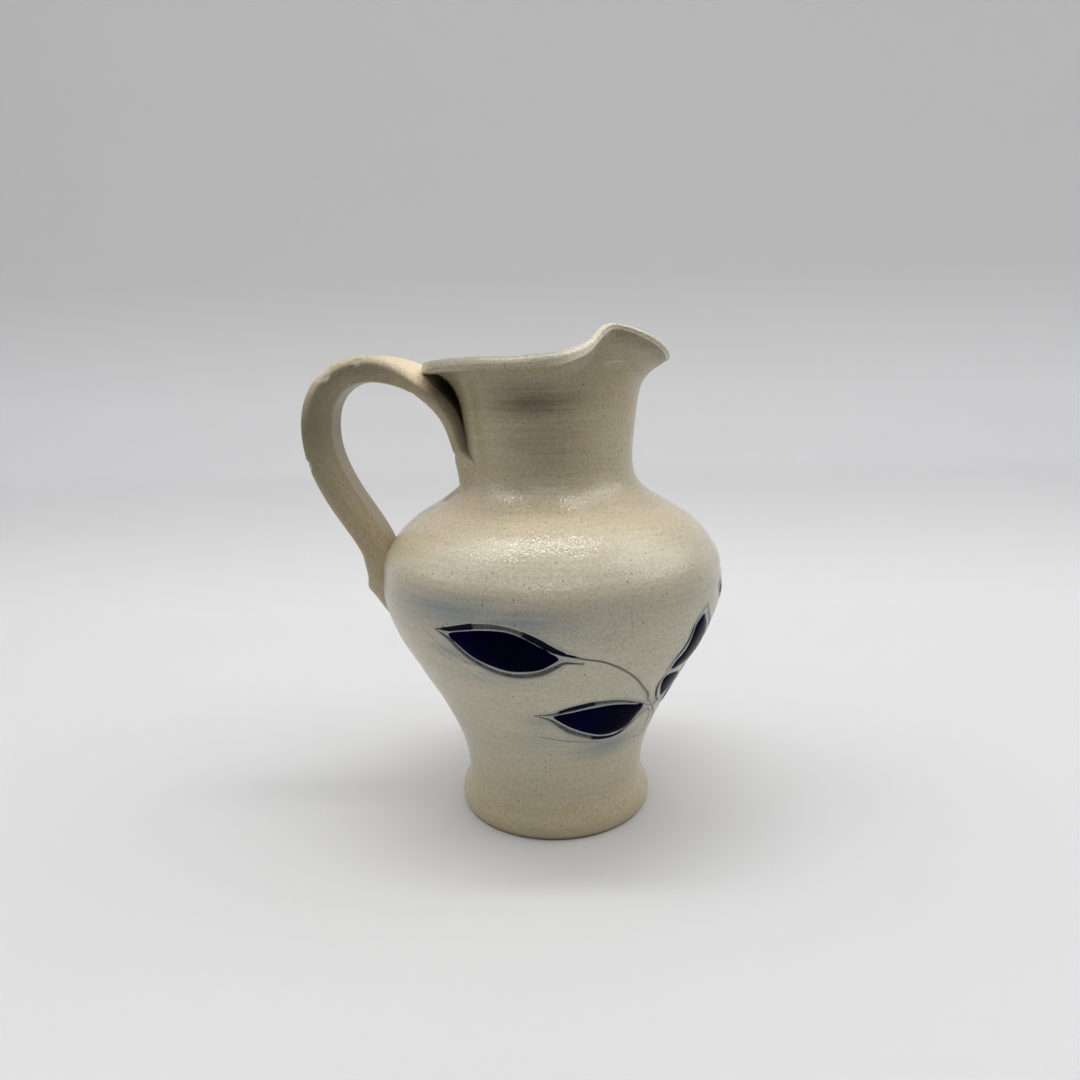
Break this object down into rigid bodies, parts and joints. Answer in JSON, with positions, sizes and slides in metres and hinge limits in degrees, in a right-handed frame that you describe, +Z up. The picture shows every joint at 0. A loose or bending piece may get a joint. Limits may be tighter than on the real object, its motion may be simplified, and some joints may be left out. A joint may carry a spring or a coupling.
{
  "type": "pottery creamer",
  "caption": "Stoneware creamer: footed round belly, narrow neck, flared rim with a pulled pouring spout, strap handle and a carved sprig of dark blue leaves.",
  "frame": {"origin": "centre of the flat underside of the foot", "axes": "+Z up along the thrown axis, +X towards the spout, -X towards the handle; the sprig's left half faces -Y"},
  "size_m": [0.114, 0.0946, 0.1357],
  "materials": {
    "stoneware": "grey-tan salt glaze, satin to glossy with a fine orange-peel texture",
    "cobalt_slip": "very dark blue cobalt slip under a glossy glaze"
  },
  "bodies": {
    "root": {"body": "stoneware", "handle": "stoneware", "upper_left_leaf": "cobalt_slip", "lower_left_leaf": "cobalt_slip", "bud_leaf": "cobalt_slip", "middle_leaf": "cobalt_slip", "upper_right_leaf": "cobalt_slip", "lower_right_leaf": "cobalt_slip"}
  },
  "joints": []
}
